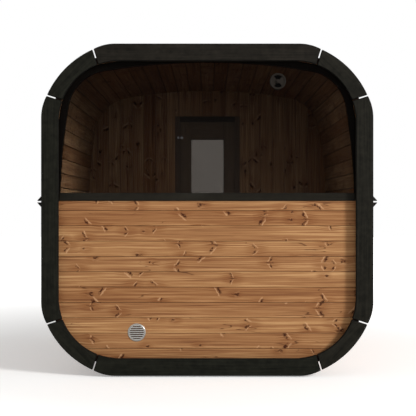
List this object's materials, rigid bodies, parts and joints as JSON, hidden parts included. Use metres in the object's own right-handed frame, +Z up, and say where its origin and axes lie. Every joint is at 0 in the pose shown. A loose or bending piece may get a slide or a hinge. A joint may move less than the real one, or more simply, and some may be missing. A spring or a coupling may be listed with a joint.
{
  "type": "outdoor sauna cabin",
  "caption": "Square barrel-shaped sauna cabin of staves and steel hoops on cradles, with a half-height tinted window in one end wall and a glazed outward-opening door in the other.",
  "frame": {"origin": "on the ground, under the middle of the cabin", "axes": "+Z up, +Y from the window end to the door end, +X to the right of someone facing the window"},
  "size_m": [2.422, 2.2, 2.308],
  "materials": {
    "staves": "planed, thermally treated, oiled",
    "trim": "planed, dark stained",
    "wall_boards": "planed, thermally treated, oiled",
    "window_frame": "painted satin black",
    "tinted_glass": "grey-brown tinted, toughened",
    "door_glass": "lightly tinted, toughened",
    "vent_plastic": "moulded, satin",
    "stainless": "brushed stainless",
    "coated_steel": "black powder coated",
    "door_frame": "dark stained",
    "door_leaf": "dark stained",
    "handle": "sanded, oiled",
    "hinge_steel": "zinc plated",
    "floor_boards": "planed, oiled",
    "cradle_wood": "dark stained"
  },
  "bodies": {
    "cabin": {"cradles": "cradle_wood", "door_head": "door_frame", "door_hinge_jamb": "door_frame", "door_latch_jamb": "door_frame", "door_sill": "door_frame", "floor_bearers": "floor_boards", "floor_deck": "floor_boards", "floor_staves": "staves", "front_trim_bottom": "trim", "front_trim_corners": "trim", "front_trim_left": "trim", "front_trim_right": "trim", "front_trim_top": "trim", "front_wall_left": "wall_boards", "front_wall_over_door": "wall_boards", "front_wall_right": "wall_boards", "hinge_frame_halves": "hinge_steel", "hoop_bands": "coated_steel", "hoop_bolts": "coated_steel", "hoop_brackets": "coated_steel", "left_staves": "staves", "lower_left_corner_staves": "staves", "lower_right_corner_staves": "staves", "rear_trim_bottom": "trim", "rear_trim_corners": "trim", "rear_trim_left": "trim", "rear_trim_right": "trim", "rear_trim_top": "trim", "rear_wall": "wall_boards", "right_staves": "staves", "roof_staves": "staves", "upper_left_corner_staves": "staves", "upper_right_corner_staves": "staves", "wall_vent": "stainless", "window_frame_corners": "window_frame", "window_frame_left": "window_frame", "window_frame_right": "window_frame", "window_frame_top": "window_frame", "window_glass": "tinted_glass", "window_rail": "window_frame", "window_vent": "vent_plastic"},
    "door": {"door_hinge_stile": "door_leaf", "door_latch_stile": "door_leaf", "door_top_rail": "door_leaf", "door_bottom_rail": "door_leaf", "door_glass": "door_glass", "door_handle_outside": "handle", "door_handle_inside": "handle", "hinge_door_halves": "hinge_steel"}
  },
  "joints": [
    {"name": "door_swing", "type": "hinge", "parent": "cabin", "child": "door", "pos_m": [-0.2575, 1.052, 1], "axis": [0, 0, 1], "range_deg": [0, 105]}
  ]
}
